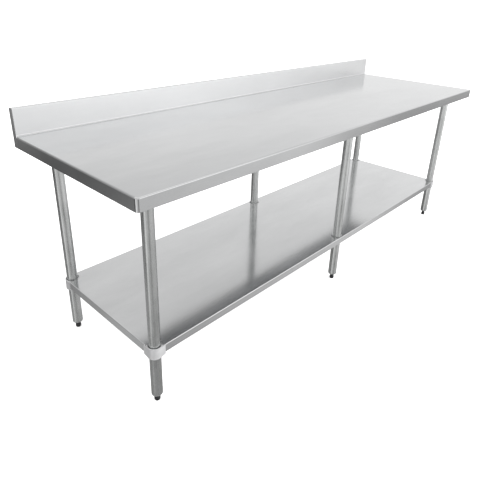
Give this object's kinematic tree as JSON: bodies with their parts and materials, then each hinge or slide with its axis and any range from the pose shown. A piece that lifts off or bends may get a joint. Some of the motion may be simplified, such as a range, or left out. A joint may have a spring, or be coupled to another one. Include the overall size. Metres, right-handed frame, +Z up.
{
  "type": "stainless work table",
  "caption": "Long commercial work table: folded stainless top with turned-down edges and an upright back edge, flat undershelf clamped to round tube legs, black screw-in feet.",
  "frame": {"origin": "on the floor under the middle of the table's plan outline", "axes": "+X along the length towards the right end, +Y towards the backsplash, +Z up"},
  "size_m": [2.4384, 0.762, 0.9526],
  "materials": {
    "stainless_sheet": "fine linear grain along the length, almost mirror-like at low angles",
    "galvanised_sheet": "dull galvanised",
    "leg_tube": "satin grey tube with a soft vertical highlight",
    "cast_socket": "as-cast, dull",
    "cast_clamp": "bright cast, lightly polished",
    "zinc_steel": "zinc-plated",
    "foot_insert": "satin grey, rounded shoulder",
    "black_plastic": "smooth black"
  },
  "bodies": {
    "table_frame": {"worktop": "stainless_sheet", "backsplash_end_left": "stainless_sheet", "backsplash_end_right": "stainless_sheet", "front_hat_channel": "galvanised_sheet", "rear_hat_channel": "galvanised_sheet", "leg_socket_front_left": "cast_socket", "socket_screw_front_left": "zinc_steel", "leg_front_left": "leg_tube", "foot_insert_front_left": "foot_insert", "leg_socket_front_middle": "cast_socket", "socket_screw_front_middle": "zinc_steel", "leg_front_middle": "leg_tube", "foot_insert_front_middle": "foot_insert", "leg_socket_front_right": "cast_socket", "socket_screw_front_right": "zinc_steel", "leg_front_right": "leg_tube", "foot_insert_front_right": "foot_insert", "leg_socket_rear_left": "cast_socket", "socket_screw_rear_left": "zinc_steel", "leg_rear_left": "leg_tube", "foot_insert_rear_left": "foot_insert", "leg_socket_rear_middle": "cast_socket", "socket_screw_rear_middle": "zinc_steel", "leg_rear_middle": "leg_tube", "foot_insert_rear_middle": "foot_insert", "leg_socket_rear_right": "cast_socket", "socket_screw_rear_right": "zinc_steel", "leg_rear_right": "leg_tube", "foot_insert_rear_right": "foot_insert"},
    "undershelf_unit": {"undershelf": "stainless_sheet", "undershelf_channel": "galvanised_sheet", "shelf_clamp_front_left": "cast_clamp", "clamp_screw_front_left": "zinc_steel", "shelf_clamp_front_middle": "cast_clamp", "clamp_screw_front_middle": "zinc_steel", "shelf_clamp_front_right": "cast_clamp", "clamp_screw_front_right": "zinc_steel", "shelf_clamp_rear_left": "cast_clamp", "clamp_screw_rear_left": "zinc_steel", "shelf_clamp_rear_middle": "cast_clamp", "clamp_screw_rear_middle": "zinc_steel", "shelf_clamp_rear_right": "cast_clamp", "clamp_screw_rear_right": "zinc_steel"},
    "foot_unit_front_left": {"foot_front_left": "black_plastic", "foot_stem_front_left": "zinc_steel"},
    "foot_unit_front_middle": {"foot_front_middle": "black_plastic", "foot_stem_front_middle": "zinc_steel"},
    "foot_unit_front_right": {"foot_front_right": "black_plastic", "foot_stem_front_right": "zinc_steel"},
    "foot_unit_rear_left": {"foot_rear_left": "black_plastic", "foot_stem_rear_left": "zinc_steel"},
    "foot_unit_rear_middle": {"foot_rear_middle": "black_plastic", "foot_stem_rear_middle": "zinc_steel"},
    "foot_unit_rear_right": {"foot_rear_right": "black_plastic", "foot_stem_rear_right": "zinc_steel"}
  },
  "joints": [
    {"name": "undershelf_height", "type": "slide", "parent": "table_frame", "child": "undershelf_unit", "axis": [0, 0, 1], "range_m": [-0.1, 0.4]},
    {"name": "foot_front_left_height", "type": "slide", "parent": "table_frame", "child": "foot_unit_front_left", "axis": [0, 0, -1], "range_m": [0, 0.025]},
    {"name": "foot_front_middle_height", "type": "slide", "parent": "table_frame", "child": "foot_unit_front_middle", "axis": [0, 0, -1], "range_m": [0, 0.025]},
    {"name": "foot_front_right_height", "type": "slide", "parent": "table_frame", "child": "foot_unit_front_right", "axis": [0, 0, -1], "range_m": [0, 0.025]},
    {"name": "foot_rear_left_height", "type": "slide", "parent": "table_frame", "child": "foot_unit_rear_left", "axis": [0, 0, -1], "range_m": [0, 0.025]},
    {"name": "foot_rear_middle_height", "type": "slide", "parent": "table_frame", "child": "foot_unit_rear_middle", "axis": [0, 0, -1], "range_m": [0, 0.025]},
    {"name": "foot_rear_right_height", "type": "slide", "parent": "table_frame", "child": "foot_unit_rear_right", "axis": [0, 0, -1], "range_m": [0, 0.025]}
  ]
}
